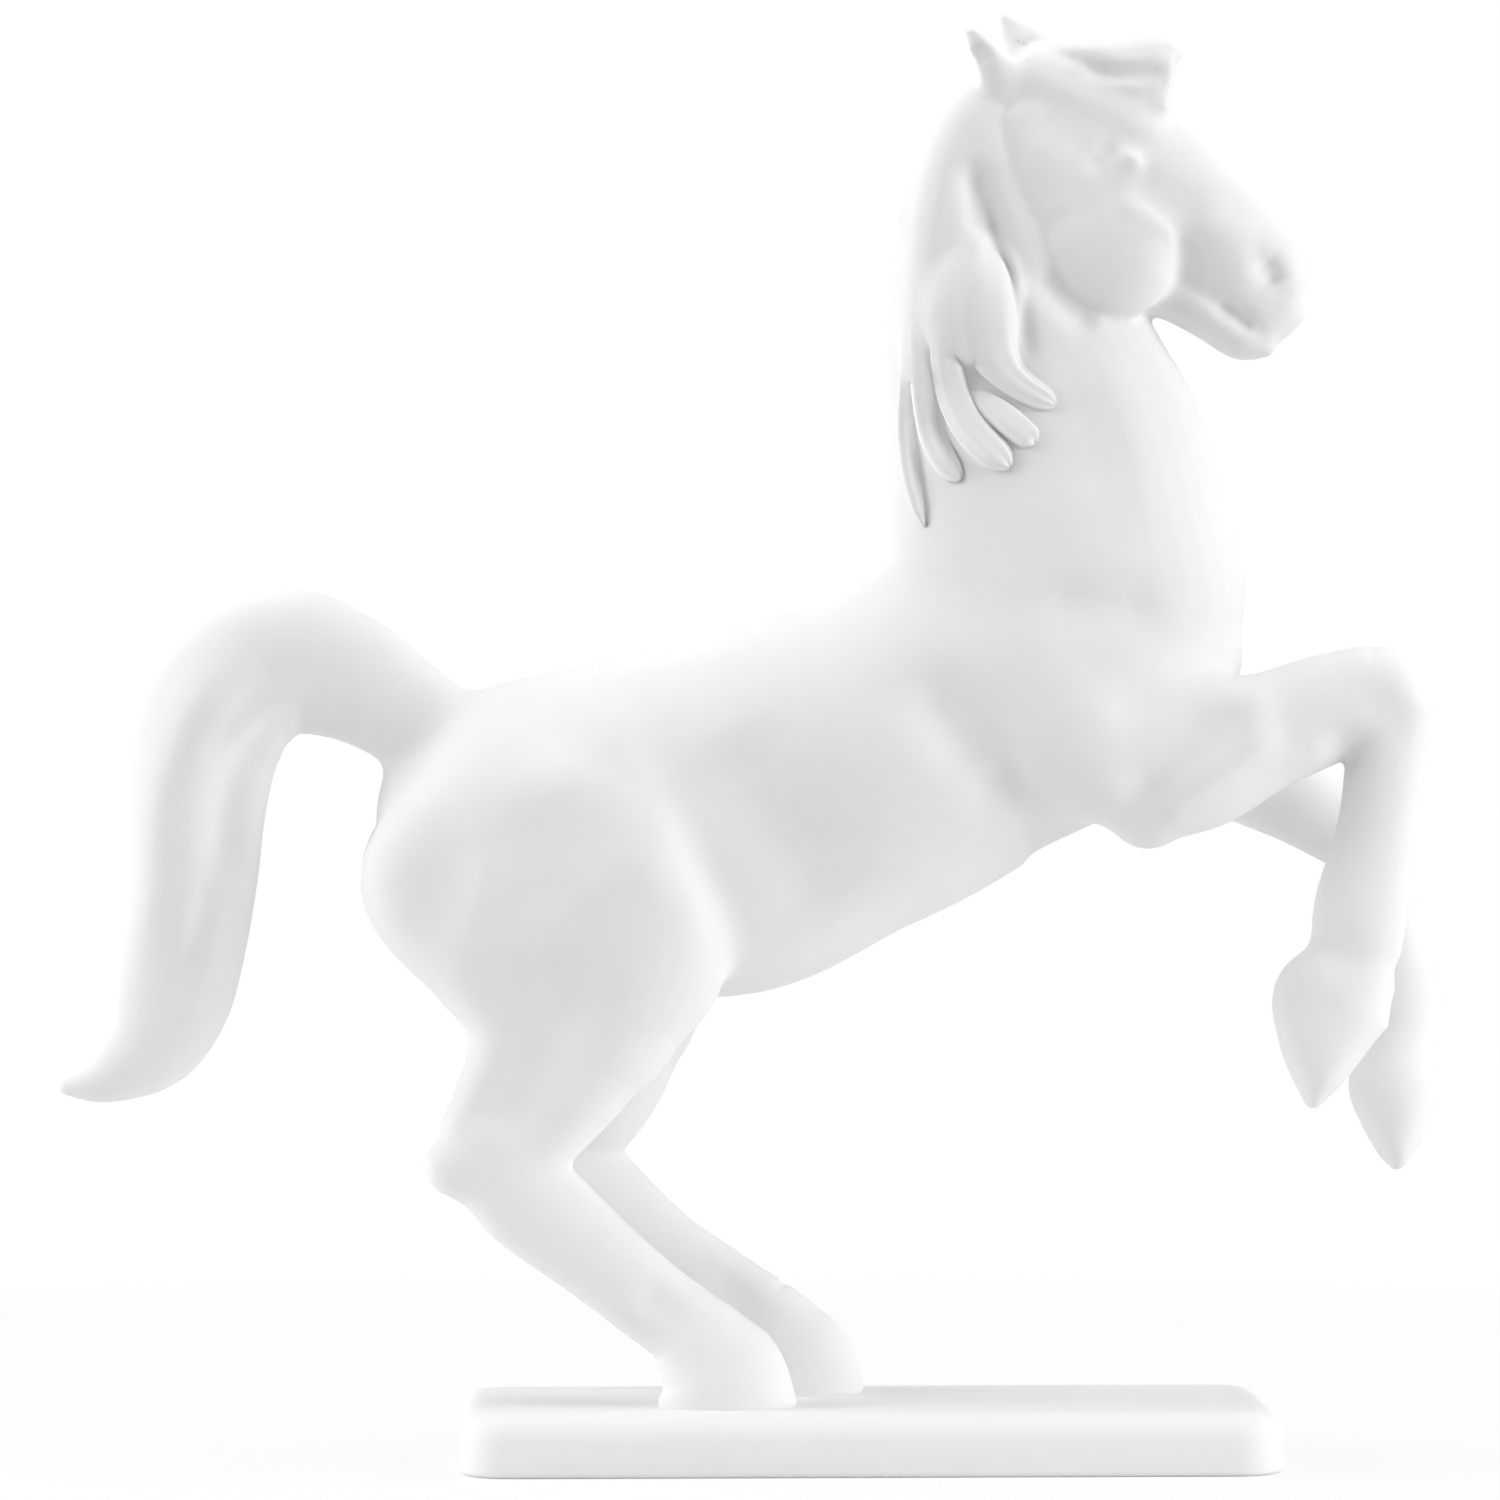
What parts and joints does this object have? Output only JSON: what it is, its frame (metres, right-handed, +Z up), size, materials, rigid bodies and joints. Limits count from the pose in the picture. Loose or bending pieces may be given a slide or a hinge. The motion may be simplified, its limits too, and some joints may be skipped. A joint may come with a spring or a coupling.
{
  "type": "porcelain horse figurine",
  "caption": "White unglazed porcelain figurine of a horse rearing on its hind legs, with flowing mane and tail, on a rounded rectangular plinth; stands on a shelf as decoration.",
  "frame": {"origin": "under the middle of the figure, on the surface that the plinth stands on", "axes": "+X the way the horse faces, +Y to its left, +Z up"},
  "size_m": [0.2312, 0.056, 0.2418],
  "materials": {
    "biscuit_porcelain": "matt, unglazed"
  },
  "bodies": {
    "root": {"base_plinth": "biscuit_porcelain", "trunk": "biscuit_porcelain", "neck": "biscuit_porcelain", "head": "biscuit_porcelain", "right_ear": "biscuit_porcelain", "left_ear": "biscuit_porcelain", "forelock": "biscuit_porcelain", "mane_lock_1": "biscuit_porcelain", "mane_lock_2": "biscuit_porcelain", "mane_lock_3": "biscuit_porcelain", "mane_lock_4": "biscuit_porcelain", "mane_lock_5": "biscuit_porcelain", "tail": "biscuit_porcelain", "right_foreleg": "biscuit_porcelain", "left_foreleg": "biscuit_porcelain", "right_hind_leg": "biscuit_porcelain", "left_hind_leg": "biscuit_porcelain"}
  },
  "joints": []
}
